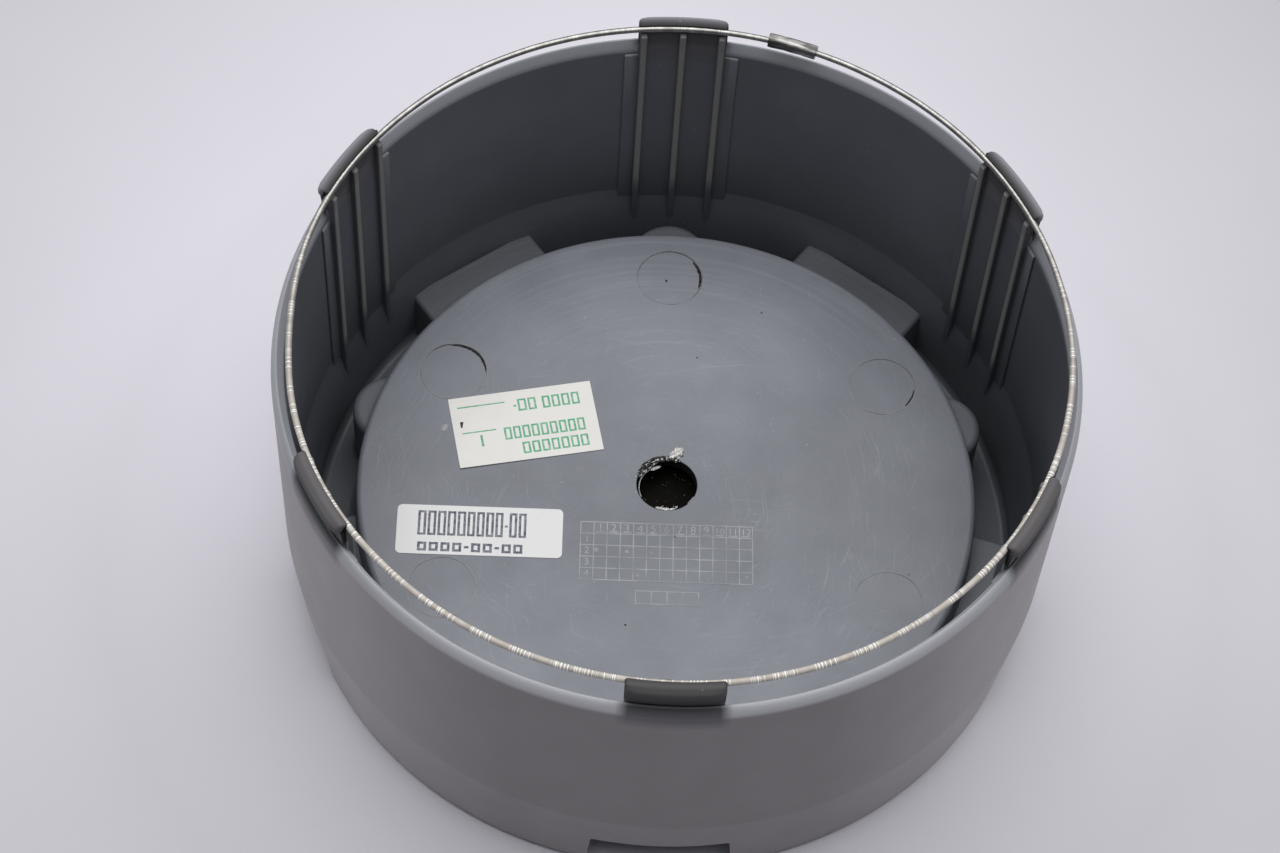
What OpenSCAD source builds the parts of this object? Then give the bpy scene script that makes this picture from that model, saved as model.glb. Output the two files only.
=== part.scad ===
// Centre cap of a car wheel, standing on its front face with its open back upwards.
// Z runs up from the front face along the cap's axis, and one clip stands at +Y.

/* [Wall] */
// Outside diameter of the wall, which enters the bore of the wheel
wall_d = 130.2; // [124:0.1:140]
// Height of the rim above the front face
wall_h = 59.4; // [50:0.1:70]
// Thickness of the wall at the rim
wall_t = 2.1; // [1.8:0.05:2.6]
// Height of the rounded top of the rim
rim_round_h = 2.2; // [1:0.1:3.5]
// Height of the crease below which the outside tapers in
crease_h = 19.1; // [15:0.1:26]
// Radius that the taper loses between the crease and the front face
foot_taper = 1.6; // [0.8:0.1:2.2]
// Thickness of the wall where it meets the front ring
foot_t = 2.65; // [2.2:0.05:3.2]
// Rounding of the outer edge of the front face
front_edge_r = 1.8; // [0.6:0.1:2.4]

/* [Wall panels] */
// Depth of the shallow panels between the clips
panel_depth = 0.4; // [0.2:0.05:0.7]
// Height of the ledge at the foot of the panels
ledge_h = 18; // [16:0.1:24]
// Width of the thick strip that carries each clip
strip_w = 19.6; // [18.6:0.1:24]

/* [Front ring] */
// Thickness of the front ring at the floor of the trench
ring_t = 2.1; // [1.6:0.1:3]
// Rounding of both inside corners of the trench
trench_fillet = 1.4; // [0.6:0.1:1.8]

/* [Centre disc] */
// Width of the trench between the wall and the skirt of the disc
trench_w = 6.85; // [6:0.05:9]
// Height of the back of the disc above the front face
disc_h = 18; // [16.5:0.1:22]
// Thickness of the disc
disc_t = 2.3; // [1.8:0.1:3]
// Thickness of the skirt that joins the disc to the front ring
skirt_t = 2.2; // [1.8:0.1:2.6]
// Radius that the skirt gains from the disc down to the front ring
skirt_draft = 1; // [0.2:0.1:1.4]
// Rounding of the edge of the disc
disc_edge_r = 1; // [0.4:0.1:1.6]
// Diameter of the hole in the middle
hole_d = 10.4; // [6:0.1:14]
// Diameter of the round ejector marks
mark_d = 10.7; // [8:0.1:12]
// Distance from the edge of the disc in to the middle of the ejector marks
mark_inset = 9.6; // [7:0.1:16]
// Depth of the ejector marks
mark_depth = 0.12; // [0.05:0.01:0.3]

/* [Notches and bosses] */
// Height of the blocks inside the trench, which are the backs of the notches
block_h = 11.7; // [9:0.1:13]
// Width of a block at its top
block_w = 25.2; // [20:0.1:28]
// Width that a block gains on each side down to the front face
block_draft = 0.9; // [0.2:0.1:1.2]
// Thickness of the walls of a block
block_t = 1.4; // [1.2:0.1:1.8]
// Rounding of the upper edges of a block
block_edge_r = 0.8; // [0.4:0.1:1]
// Diameter of the round bosses beside the disc
boss_d = 13.4; // [11:0.1:14.4]
// Distance from the foot of the skirt in to the axis of the bosses
boss_inset = 3.3; // [2.4:0.1:4.4]
// Height of the bosses above the front face
boss_h = 15.2; // [13.4:0.1:15.6]
// Thickness of the walls of a boss
boss_t = 2; // [1.6:0.1:2.4]
// Rounding of the top edge of a boss
boss_edge_r = 1.3; // [0.6:0.1:1.8]

/* [Clips] */
// Height of the clips above the rim
clip_rise = 5.5; // [4.6:0.1:9]
// Width of a clip
clip_w = 15.3; // [13:0.1:17]
// Length that the lip of a clip stands out past the wall
lip_out = 0.4; // [0.2:0.05:1]
// Height of the lip of a clip
lip_h = 2.2; // [1.8:0.1:2.6]
// Thickness of the neck of a clip, below its lip
neck_t = 1.2; // [1:0.05:1.4]
// Width of the three ribs inside a clip
rib_w = 1.2; // [0.8:0.05:1.6]
// Depth of the three ribs inside a clip
rib_depth = 1; // [0.5:0.05:1.4]
// Rounding of the top of a rib
rib_top_r = 0.5; // [0.3:0.05:0.8]

/* [Retaining ring] */
// Diameter of the spring wire
wire_d = 1; // [0.8:0.05:1.2]
// Depth that the wire sits in the groove of the clips
groove_depth = 0.35; // [0.2:0.05:0.5]
// Distance from the middle of the wire up to the top of the clips
wire_below_top = 1.1; // [1:0.05:1.6]
// Gap between the two ends of the wire
wire_gap = 0.6; // [0.3:0.1:2]
// Length of the crimped sleeve over the ends of the wire
sleeve_l = 8.4; // [6:0.1:12]
// Width and height of the crimped sleeve
sleeve_size = 2; // [1.7:0.05:2.4]
// Direction in which the sleeve lies, in degrees from +X
sleeve_az = 72.8; // [67:0.1:74]

/* [Front insert] */
// Thickness of the plain disc in the front recess
insert_t = 2.5; // [1.6:0.1:3.5]
// Height of the rim that holds the insert off the disc
insert_rim_h = 2.3; // [1:0.1:3]
// Width of the rim of the insert
insert_rim_w = 3; // [2:0.1:6]
// Rounding of the front edge of the insert
insert_edge_r = 0.8; // [0.3:0.1:1.2]
// Gap between the insert and the skirt
insert_gap = 0.3; // [0.1:0.05:0.6]

/* [Labels] */
// Thickness of the paper labels
label_t = 0.15; // [0.1:0.01:0.3]
// Length of the part label
part_label_l = 28.1; // [20:0.1:30]
// Width of the part label
part_label_w = 9.6; // [6:0.1:12]
// Rounding of the corners of the part label
part_label_r = 0.8; // [0.2:0.1:1.5]
// Length of the inspection label
inspection_l = 25; // [18:0.1:27]
// Width of the inspection label
inspection_w = 14.3; // [9:0.1:16]

/* [Hidden] */
$fn = 96;

// Running clearance between the wire and what holds it
wire_clear = 0.02;
// How far one shape runs into its neighbour so that the two fuse
bite = 0.5;
// Distances from the edge of the disc in to the middle of each label
part_label_inset = 21.4;
inspection_inset = 28.4;
// How far the strips end below the rounding of the rim, and how far their rounded tops run into the wall
strip_below_rim = 0.3;
rib_inset = 0.3;
ledge_slope = 0.4;
rim_slope = 1.7;
strip_root = 0.02;
// Steps along a small rounded edge, and along the curve of the lower wall
edge_steps = 5;
curve_steps = 6;

clip_count = 6;
clip_az = 90;
notch_count = 5;
notch_az = 54;
boss_az = 18;
ribs_per_clip = 3;

wall_r = wall_d / 2;
panel_r = wall_r - wall_t;
strip_r = panel_r - panel_depth;
foot_r = wall_r - foot_taper;
foot_in_r = foot_r - foot_t;
rim_mid_r = wall_r - wall_t / 2;

skirt_foot_r = foot_in_r - trench_w;
disc_r = skirt_foot_r - skirt_draft;
disc_under_h = disc_h - disc_t;
boss_at_r = skirt_foot_r - boss_inset;
mark_at_r = disc_r - mark_inset;
recess_r = disc_r - skirt_t;
recess_foot_r = skirt_foot_r - skirt_t;

notch_h = block_h - block_t;
notch_in_x = skirt_foot_r;
block_reach_r = foot_in_r + foot_t / 2;

clip_h = wall_h + clip_rise;
clip_face_r = strip_r + 0.1;
neck_r = clip_face_r + neck_t;
lip_r = wall_r + lip_out;
lip_foot_h = clip_h - lip_h;
clip_angle = 2 * asin(clip_w / 2 / strip_r) + 2;
strip_angle = 2 * asin(strip_w / 2 / strip_r);
rib_face_r = strip_r - rib_depth;
rib_angle = 2 * asin((clip_w / 2 - rib_inset - rib_w / 2) / strip_r) / (ribs_per_clip - 1);

ring_r = clip_face_r - wire_d / 2 + groove_depth;
ring_h = clip_h - wire_below_top;
rib_top_h = ring_h - wire_d / 2 - 0.4;
gap_angle = wire_gap / ring_r * 180 / PI;
sleeve_angle = sleeve_l / ring_r * 180 / PI;

insert_r = recess_r - insert_gap;
insert_back_h = disc_under_h - insert_rim_h;

part_label_at = [part_label_inset - disc_r, -10.6];
inspection_at = [inspection_inset - disc_r, 11.1];
inspection_turn = 11.4;

// Points of an elliptical arc with the radii rx and ry, from the angle from to the angle to
function arc(centre, rx, ry, from, to, steps = edge_steps) =
    [for (i = [0 : steps])
        let (a = from + (to - from) * i / steps)
        [centre[0] + rx * cos(a), centre[1] + ry * sin(a)]];

// Inside of the lower wall, which curves in from the ledge down to the trench floor
function lower_wall() =
    [for (i = [0 : curve_steps])
        let (z = ledge_h + (ring_t + trench_fillet - ledge_h) * i / curve_steps,
             u = (z - ring_t) / (ledge_h - ring_t))
        [foot_in_r + (strip_r - foot_in_r) * u * u, z]];

// Inside of the rim, nearly a straight slope with a soft start and end
function inner_rim() =
    [for (i = [1 : edge_steps])
        let (a = 90 * i / edge_steps)
        [rim_mid_r - wall_t / 2 * pow(sin(a), rim_slope),
         wall_h - rim_round_h + rim_round_h * pow(cos(a), rim_slope)]];

module around(count, first) {
    for (i = [0 : count - 1])
        rotate([0, 0, first + i * 360 / count]) children();
}

// Turns a flat section into a sector of the given angle, centred on the X axis
module sector(angle) {
    rotate([0, 0, -angle / 2]) rotate_extrude(angle = angle) children();
}

// Section of the whole moulding as a solid of revolution, before the front is hollowed
module shell_section() {
    polygon(concat(
        [[0, 0]],
        arc([foot_r - front_edge_r, front_edge_r], front_edge_r, front_edge_r, -90, 0),
        [[wall_r, crease_h]],
        arc([rim_mid_r, wall_h - rim_round_h], wall_t / 2, rim_round_h, 0, 90),
        inner_rim(),
        [[panel_r, ledge_h + ledge_slope]],
        lower_wall(),
        arc([foot_in_r - trench_fillet, ring_t + trench_fillet], trench_fillet, trench_fillet, 0, -90),
        arc([skirt_foot_r + trench_fillet, ring_t + trench_fillet], trench_fillet, trench_fillet, -90, -180),
        arc([disc_r - disc_edge_r, disc_h - disc_edge_r], disc_edge_r, disc_edge_r, 0, 90),
        [[0, disc_h]]));
}

// Section of the thick strip at each clip, rounded at its top like the rim
module strip_section() {
    top_h = wall_h - rim_round_h - strip_below_rim;
    round_r = panel_depth + strip_root;
    polygon(concat(
        [[panel_r + bite, ledge_h - bite], [strip_r, ledge_h - bite]],
        arc([strip_r + round_r, top_h - 2 * panel_depth], round_r, 2 * panel_depth, 180, 90),
        [[panel_r + bite, top_h - bite]]));
}

// Section of a clip: a neck above the rim and a rounded lip that leans out over it
module clip_section() {
    inner_lip_r = clip_face_r - 0.35;
    shoulder_h = wall_h - rim_round_h / 2;
    polygon(concat(
        [[clip_face_r, wall_h - 3 * rim_round_h], [clip_face_r, ring_h], [inner_lip_r, ring_h]],
        arc([inner_lip_r + 0.35, clip_h - 0.35], 0.35, 0.35, 180, 90, 3),
        arc([lip_r - 1.3, clip_h - 1.3], 1.3, 1.3, 90, 0),
        [[lip_r, lip_foot_h + 0.5], [lip_r - 0.2, lip_foot_h + 0.25]],
        [[neck_r + 0.3, lip_foot_h], [neck_r, lip_foot_h - 0.3], [neck_r, wall_h]],
        arc([neck_r + 0.8, wall_h], 0.8, wall_h - shoulder_h, 180, 270, 3),
        [[neck_r + 0.8, wall_h - 2 * rim_round_h]]));
}

// One upright rib on the inside of a clip
module rib() {
    root_r = panel_r + bite;
    rotate([90, 0, 0]) linear_extrude(height = rib_w, center = true)
        polygon(concat(
            [[root_r, ring_t + trench_fillet], [rib_face_r, ring_t + trench_fillet]],
            arc([rib_face_r + rib_top_r, rib_top_h - rib_top_r], rib_top_r, rib_top_r, 180, 90, 4),
            [[root_r, rib_top_h]]));
}

module clip() {
    sector(strip_angle) strip_section();
    intersection() {
        sector(clip_angle) clip_section();
        translate([0, -clip_w / 2, 0]) cube([lip_r + 1, clip_w, clip_h + 1]);
    }
    for (i = [0 : ribs_per_clip - 1])
        rotate([0, 0, rib_angle * (i - (ribs_per_clip - 1) / 2)]) rib();
}

// Front view of a block or of its notch: sides that lean out downwards, rounded at the top
module tapered_slot(width, height, foot, edge_r) {
    half = width / 2;
    lean = block_draft * (height - foot) / block_h;
    polygon(concat(
        [[-half - lean, foot], [half + lean, foot]],
        arc([half - edge_r, height - edge_r], edge_r, edge_r, 0, 90, 3),
        arc([edge_r - half, height - edge_r], edge_r, edge_r, 90, 180, 3)));
}

// Carries the front view out along +X from the given distance
module along_radius(from, to) {
    translate([from, 0, 0]) rotate([90, 0, 90]) linear_extrude(height = to - from) children();
}

module block() {
    intersection() {
        along_radius(disc_r - bite, wall_r) tapered_slot(block_w, block_h, ring_t / 2, block_edge_r);
        cylinder(r = block_reach_r, h = wall_h);
    }
}

module notch() {
    along_radius(notch_in_x, wall_r + 1)
        tapered_slot(block_w - 2 * block_t, notch_h, -1, block_edge_r / 2);
}

module boss() {
    r = boss_d / 2;
    translate([boss_at_r, 0, 0]) rotate_extrude()
        polygon(concat(
            [[0, ring_t / 2], [r, ring_t / 2]],
            arc([r - boss_edge_r, boss_h - boss_edge_r], boss_edge_r, boss_edge_r, 0, 90),
            [[0, boss_h]]));
}

module boss_core() {
    translate([boss_at_r, 0, -1]) cylinder(r = boss_d / 2 - boss_t, h = boss_h - boss_t + 1);
}

// Hollow of the front, under the disc and inside the skirt
module front_recess() {
    rotate_extrude()
        polygon([[0, -1], [recess_foot_r + (recess_foot_r - recess_r) / disc_under_h, -1],
                 [recess_r, disc_under_h], [0, disc_under_h]]);
}

module ejector_mark() {
    translate([mark_at_r, 0, disc_h - mark_depth]) cylinder(d = mark_d, h = 1);
}

module wire_groove() {
    rotate_extrude() translate([ring_r, ring_h]) circle(r = wire_d / 2 + wire_clear, $fn = 48);
}

module cap_shell() {
    color([0.46, 0.48, 0.51])
        difference() {
            union() {
                rotate_extrude() shell_section();
                around(clip_count, clip_az) clip();
                around(notch_count, notch_az) block();
                around(notch_count, boss_az) boss();
            }
            front_recess();
            around(notch_count, notch_az) notch();
            around(notch_count, boss_az) boss_core();
            around(clip_count, clip_az) ejector_mark();
            translate([0, 0, disc_under_h - 1]) cylinder(d = hole_d, h = disc_t + 2);
            wire_groove();
        }
}

// Spring wire bent to an open ring, with its two ends inside the sleeve
module retaining_ring() {
    color([0.8, 0.8, 0.78])
        rotate([0, 0, sleeve_az + gap_angle / 2])
            rotate_extrude(angle = 360 - gap_angle)
                translate([ring_r, ring_h]) circle(d = wire_d, $fn = 48);
}

// Strip of sheet folded round the wire, with its seam on the underside
module ring_sleeve() {
    corner_r = 0.45;
    half = sleeve_size / 2;
    seam_w = 0.12;
    color([0.62, 0.61, 0.59])
        rotate([0, 0, sleeve_az]) sector(sleeve_angle)
            translate([ring_r, ring_h]) difference() {
                polygon(concat(
                    arc([half - corner_r, half - corner_r], corner_r, corner_r, 0, 90, 4),
                    arc([corner_r - half, half - corner_r], corner_r, corner_r, 90, 180, 4),
                    arc([corner_r - half, corner_r - half], corner_r, corner_r, 180, 270, 4),
                    arc([half - corner_r, corner_r - half], corner_r, corner_r, 270, 360, 4)));
                circle(r = wire_d / 2 + wire_clear, $fn = 48);
                translate([-seam_w / 2, -sleeve_size]) square([seam_w, sleeve_size]);
            }
}

// Plain disc glued into the front recess by a rim that stands on its back
module front_insert() {
    front_h = insert_back_h - insert_t;
    color([0.09, 0.09, 0.09])
        rotate_extrude()
            polygon(concat(
                [[0, front_h]],
                arc([insert_r - insert_edge_r, front_h + insert_edge_r], insert_edge_r, insert_edge_r, -90, 0, 4),
                [[insert_r, disc_under_h], [insert_r - insert_rim_w, disc_under_h]],
                [[insert_r - insert_rim_w, insert_back_h], [0, insert_back_h]]));
}

module part_label() {
    half_l = part_label_l / 2 - part_label_r;
    half_w = part_label_w / 2 - part_label_r;
    r = part_label_r;
    color([0.93, 0.93, 0.92])
        translate([part_label_at[0], part_label_at[1], disc_h]) linear_extrude(height = label_t)
            polygon(concat(
                arc([half_l, half_w], r, r, 0, 90, 4), arc([-half_l, half_w], r, r, 90, 180, 4),
                arc([-half_l, -half_w], r, r, 180, 270, 4), arc([half_l, -half_w], r, r, 270, 360, 4)));
}

module inspection_label() {
    color([0.9, 0.91, 0.89])
        translate([inspection_at[0], inspection_at[1], disc_h]) rotate([0, 0, inspection_turn])
            translate([-inspection_l / 2, -inspection_w / 2, 0])
                cube([inspection_l, inspection_w, label_t]);
}

cap_shell();
retaining_ring();
ring_sleeve();
front_insert();
part_label();
inspection_label();
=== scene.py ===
# %% [markdown]
# A wheel centre cap lies on its front face with its open back up. It is one grey plastic
# moulding with six sprung clips, a wire ring held by the clips, a crimped sleeve on the wire,
# a dark insert behind the centre hole and two paper labels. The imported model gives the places
# and sizes of all six pieces, and this lesson gives them their fine shapes and finishes.

# %% Load the frame
import math
import bmesh
import bpy
import numpy as np
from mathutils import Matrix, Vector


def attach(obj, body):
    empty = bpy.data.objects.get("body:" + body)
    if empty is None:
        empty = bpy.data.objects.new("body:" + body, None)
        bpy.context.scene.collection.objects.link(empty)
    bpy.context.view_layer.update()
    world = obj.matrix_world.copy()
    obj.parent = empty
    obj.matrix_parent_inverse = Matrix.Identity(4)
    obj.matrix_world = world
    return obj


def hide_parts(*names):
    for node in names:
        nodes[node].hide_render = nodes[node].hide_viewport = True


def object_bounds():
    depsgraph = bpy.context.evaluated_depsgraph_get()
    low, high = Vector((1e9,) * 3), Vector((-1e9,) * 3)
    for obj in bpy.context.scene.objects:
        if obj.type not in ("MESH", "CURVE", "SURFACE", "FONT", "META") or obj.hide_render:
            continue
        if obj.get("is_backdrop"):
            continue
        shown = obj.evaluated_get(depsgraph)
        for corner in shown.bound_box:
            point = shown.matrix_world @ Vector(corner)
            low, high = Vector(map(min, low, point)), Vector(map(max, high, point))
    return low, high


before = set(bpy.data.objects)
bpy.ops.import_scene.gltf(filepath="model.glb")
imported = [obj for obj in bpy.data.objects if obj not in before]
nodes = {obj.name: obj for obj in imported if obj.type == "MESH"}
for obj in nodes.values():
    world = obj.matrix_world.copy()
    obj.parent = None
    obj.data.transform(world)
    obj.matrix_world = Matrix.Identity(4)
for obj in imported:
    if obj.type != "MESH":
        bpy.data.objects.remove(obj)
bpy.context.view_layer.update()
MM = 0.001


def new_object(name, data):
    """Object that shows the data, linked to the scene."""
    made = bpy.data.objects.new(name, data)
    bpy.context.scene.collection.objects.link(made)
    return made


# %% [markdown]
# The camera comes first, so that every later choice can be judged in its picture. A camera can
# be guessed by eye, or solved from circles of known size. Here it was solved: the disc, the wire
# and the rim are circles, and one lens and place makes all of them fall where the picture has them.

# %% Camera
CAMERA_AT = (-0.01745, -0.27657, 0.46993)
CAMERA_TURN = (32.476, -2.214, 0.959)
LENS_MM, SENSOR_MM = 87.02, 36

camera_data = bpy.data.cameras.new("view")
camera_data.lens = LENS_MM
camera_data.sensor_width = SENSOR_MM
camera = new_object("view", camera_data)
camera.location = CAMERA_AT
camera.rotation_euler = [math.radians(angle) for angle in CAMERA_TURN]
bpy.context.scene.camera = camera
bpy.context.scene.view_settings.view_transform = "Standard"

# %% [markdown]
# Most surfaces here are a flat section carried along a path: round the axis for the wall, the
# strips and the clips, up the wall for the ribs, and outwards for the blocks. So the helpers
# come first: one rounds the corners of a section, one joins rings of points into faces, and
# one turns the result into a mesh whose faces point outwards.

# %% Helpers for shapes
def vectors(*coordinates):
    """Array of vectors from their coordinates, each an array or one number."""
    return np.stack(np.broadcast_arrays(*coordinates), axis=-1)


def sweep(start, end, count):
    """Angles in radians, from one number of degrees to another."""
    return np.radians(np.linspace(start, end, count))


def full_turn(steps):
    """Angles in radians, once round."""
    return np.radians(np.arange(steps) * 360 / steps)


def bell(x, middle, wide):
    """Smooth bump of height 1: exp(-((x - middle) / wide)^2)."""
    return np.exp(-((x - middle) / wide) ** 2)


def rounded(corners, steps=6):
    """Outline through corners of (x, y, radius). At each corner an arc of that radius touches both
    sides: it starts radius / tan(half the corner's angle) before the corner, and its centre lies on
    the bisector at radius / sin(half the angle)."""
    outline = []
    count = len(corners)
    for i, (x, y, radius) in enumerate(corners):
        corner = np.array([x, y], float)
        if radius == 0:
            outline.append(corner[None])
            continue
        before = np.array(corners[i - 1][:2]) - corner
        after = np.array(corners[(i + 1) % count][:2]) - corner
        before /= np.linalg.norm(before)
        after /= np.linalg.norm(after)
        half = math.acos(np.clip(before @ after, -1, 1)) / 2
        centre = corner + (before + after) / np.linalg.norm(before + after) * radius / math.sin(half)
        start = corner + before * radius / math.tan(half) - centre
        end = corner + after * radius / math.tan(half) - centre
        share = np.linspace(0, 1, steps + 1)[:, None]
        arc = start * (1 - share) + end * share
        outline.append(centre + arc / np.linalg.norm(arc, axis=1)[:, None] * radius)
    return np.vstack(outline)


def shrunk(section, inset):
    """Section with every point moved inwards by inset, along the mean of its two sides' normals."""
    side = np.roll(section, -1, axis=0) - section
    side /= np.linalg.norm(side, axis=1)[:, None]
    area = np.sum(section[:, 0] * np.roll(section[:, 1], -1) - np.roll(section[:, 0], -1) * section[:, 1])
    normal = np.sign(area) * vectors(side[:, 1], -side[:, 0])
    last = np.roll(normal, 1, axis=0)
    mitre = (normal + last) / (1 + np.sum(normal * last, axis=1))[:, None]
    return section - mitre * inset


def ring_faces(rings, around, closed):
    """Quads between neighbouring rings of points, from ring to ring and round each ring."""
    ring = np.arange(rings if closed else rings - 1)[:, None]
    point = np.arange(around)[None, :]
    next_ring = (ring + 1) % rings
    next_point = (point + 1) % around
    corners = (ring * around + point, ring * around + next_point,
               next_ring * around + next_point, next_ring * around + point)
    return np.stack(np.broadcast_arrays(*corners), axis=-1).reshape(-1, 4)


def solid_mesh(name, shapes, closed=False):
    """Mesh of closed solids, each given as an array of rings in millimetres, (rings, points, 3). A
    solid that isn't closed on itself gets its first and last ring as end faces."""
    points, faces, first = [], [], 0
    for rings in shapes:
        count, around = rings.shape[:2]
        points.append(rings.reshape(-1, 3) * MM)
        faces += (ring_faces(count, around, closed) + first).tolist()
        if not closed:
            faces.append(list(range(first, first + around)))
            faces.append(list(range(first + (count - 1) * around, first + count * around)))
        first += count * around
    mesh = bpy.data.meshes.new(name)
    mesh.from_pydata(np.vstack(points), [], faces)
    work = bmesh.new()
    work.from_mesh(mesh)
    bmesh.ops.recalc_face_normals(work, faces=work.faces)
    work.to_mesh(mesh)
    work.free()
    return mesh


def turned(section, angles):
    """Rings of a section (r, z) turned about the Z axis: x = r cos a, y = r sin a."""
    angle = np.radians(angles)[:, None]
    return vectors(section[..., 0] * np.cos(angle), section[..., 0] * np.sin(angle), section[..., 1])


def spun(rings, degrees):
    """Rings turned about the Z axis as a whole."""
    c, s = math.cos(math.radians(degrees)), math.sin(math.radians(degrees))
    x, y, z = np.moveaxis(rings, -1, 0)
    return vectors(c * x - s * y, s * x + c * y, z)


def repeated(rings, azimuths):
    """The same rings turned to each azimuth."""
    return [spun(rings, az) for az in azimuths]


def across(section, half_width, edge_r, steps=4):
    """Rings of a section (r, z) carried over y from -half_width to half_width along round arcs, so
    x = sqrt(r^2 - y^2). The end edges are round: at e (1 - cos u) from an end the section is shrunk
    by e (1 - sin u), u from 0 to 90 degrees."""
    u = sweep(0, 90, steps + 1)
    from_end = edge_r * (1 - np.cos(u))
    inset = edge_r * (1 - np.sin(u))
    inner = half_width - from_end[-1]
    middle = np.linspace(-inner, inner, 14)[1:-1]
    stations = np.concatenate([-half_width + from_end, middle, (half_width - from_end)[::-1]])
    insets = np.concatenate([inset, 0 * middle, inset[::-1]])
    rings = []
    for y, shrink in zip(stations, insets):
        r, z = shrunk(section, shrink).T
        rings.append(vectors(np.sqrt(r ** 2 - y ** 2), y, z))
    return np.stack(rings)


def ribbon(azimuth, inner, outer, top, bottom, centre=(0, 0)):
    """Thin strip along an arc: at each azimuth a ring of four points, from inner to outer radius and
    from bottom to top height. Each of these may change along the way."""
    a = np.radians(azimuth)
    r_in, r_out, high, low = [np.broadcast_to(value, a.shape) for value in (inner, outer, top, bottom)]
    radius = vectors(r_out, r_in, r_in, r_out)
    x = centre[0] + radius * np.cos(a)[:, None]
    y = centre[1] + radius * np.sin(a)[:, None]
    return vectors(x, y, vectors(high, high, low, low))


# %% [markdown]
# A piece is a mesh object at the origin that rides on the only body. Its material comes later in
# the lesson, so a small table collects the pieces by finish. Normals weighted by face size keep
# the large flats flat right up to their small round edges.

# %% Helpers for pieces
finishes = {}


def place(name, mesh, finish, replaced=(), sharp=32):
    """Piece at the origin. Edges whose faces meet at more than sharp degrees stay sharp."""
    piece = new_object(name, mesh)
    mesh.shade_smooth()
    mesh.set_sharp_from_angle(angle=math.radians(sharp))
    even = piece.modifiers.new("even", "WEIGHTED_NORMAL")
    even.keep_sharp = True
    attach(piece, "root")
    if replaced:
        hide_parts(*replaced)
    finishes.setdefault(finish, []).append(piece)
    print(name, len(mesh.polygons), "faces")
    return piece


def combined(mesh, steps):
    """The mesh after each step of (operation, tool mesh), done with the solver for closed solids."""
    body = new_object("body", mesh)
    tools = []
    for operation, tool_mesh in steps:
        tool = new_object("tool", tool_mesh)
        cut = body.modifiers.new("cut", "BOOLEAN")
        cut.operation = operation
        cut.solver = "MANIFOLD"
        cut.object = tool
        tools.append(tool)
    graph = bpy.context.evaluated_depsgraph_get()
    result = bpy.data.meshes.new_from_object(body.evaluated_get(graph))
    for thing in [body, *tools]:
        bpy.data.objects.remove(thing)
    return result


# %% [markdown]
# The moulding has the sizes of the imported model, in millimetres. The driving ones are written
# here once, and the rest follow from them.

# %% Sizes of the moulding
WALL_R, WALL_TOP, WALL_T = 65.1, 59.4, 2.1
RIM_ROUND = 2.2
CREASE_H = 19.1
FOOT_R, FOOT_IN_R = 63.5, 60.85
FRONT_EDGE_R = 1.8
PANEL_R = WALL_R - WALL_T
STRIP_R = PANEL_R - 0.4
LEDGE_H = 18
RING_T = 2.1
TRENCH_FILLET = 1.4
DISC_R, DISC_TOP, DISC_T = 53.0, 18.0, 2.3
SKIRT_FOOT_R = 54.0
HOLE_R = 5.2
CLIP_TOP = 64.9
CLIP_FACE_R = STRIP_R + 0.1
NECK_R = CLIP_FACE_R + 1.2
LIP_R = WALL_R - 0.05
LIP_FOOT = CLIP_TOP - 2.2
WIRE_RING_R, WIRE_H, WIRE_R = 62.55, 63.8, 0.52
CLIP_AZ = [30 + 60 * i for i in range(6)]
NOTCH_AZ = [54 + 72 * i for i in range(5)]
BOSS_AZ = [18 + 72 * i for i in range(5)]
CLIP_HALF, STRIP_HALF = 7.6, 9.8
RIB_W = 1.2
BURIED = 0.05
RIB_STEP = math.degrees(math.asin((CLIP_HALF - RIB_W / 2 - 0.3) / STRIP_R))

# %% [markdown]
# The wall, the front ring, the trench, the skirt and the disc are all round the same axis, so one
# section turned once round makes them. The rim is a superellipse, which has a flatter slope and
# tighter corners than an ellipse, as on the real rim, where the light ends at a soft line.

# %% Body of revolution
RIM_SHAPE = 1.15


def rim(start, end, power, steps=10):
    """Quarter of a superellipse of the rim: r = middle + half cos(t)^(2/power), z likewise with sin."""
    t = sweep(start, end, steps + 1)
    out = np.sign(np.cos(t)) * np.abs(np.cos(t)) ** (2 / power)
    up = np.abs(np.sin(t)) ** (2 / power)
    middle = WALL_R - WALL_T / 2
    return vectors(middle + WALL_T / 2 * out, WALL_TOP - RIM_ROUND + RIM_ROUND * up)


def body_section():
    """Closed section (r, z), from the front face out, up the wall, over the rim, down inside it and
    over the disc to the hole. Inside, the lower wall is a parabola that curves in to the trench."""
    outer = rounded([(HOLE_R, 0, 0), (63.33, 0, FRONT_EDGE_R), (WALL_R, CREASE_H, 5),
                     (WALL_R, WALL_TOP - RIM_ROUND, 0)])
    share = np.linspace(1, 0.12, 14)
    height = RING_T + (LEDGE_H - 1.4 - RING_T) * share
    curve = FOOT_IN_R + (STRIP_R - FOOT_IN_R) * share ** 2
    ledge = rounded([(PANEL_R, LEDGE_H + 6, 0), (PANEL_R, LEDGE_H + 0.5, 1.5),
                     (STRIP_R, LEDGE_H - 1.4, 0)], 4)[1:-1]
    trench = rounded([(FOOT_IN_R + 0.02, 6, 0), (FOOT_IN_R, RING_T, TRENCH_FILLET),
                      (SKIRT_FOOT_R + 0.1, RING_T, TRENCH_FILLET), (DISC_R, DISC_TOP, 1.0),
                      (HOLE_R, DISC_TOP, 0.15), (HOLE_R, DISC_TOP - 3, 0)], 8)[1:-1]
    return np.vstack([outer[:-1], rim(0, 90, 2)[:-1], rim(90, 180, RIM_SHAPE), ledge,
                      vectors(curve, height)[:-1], trench])


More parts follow.
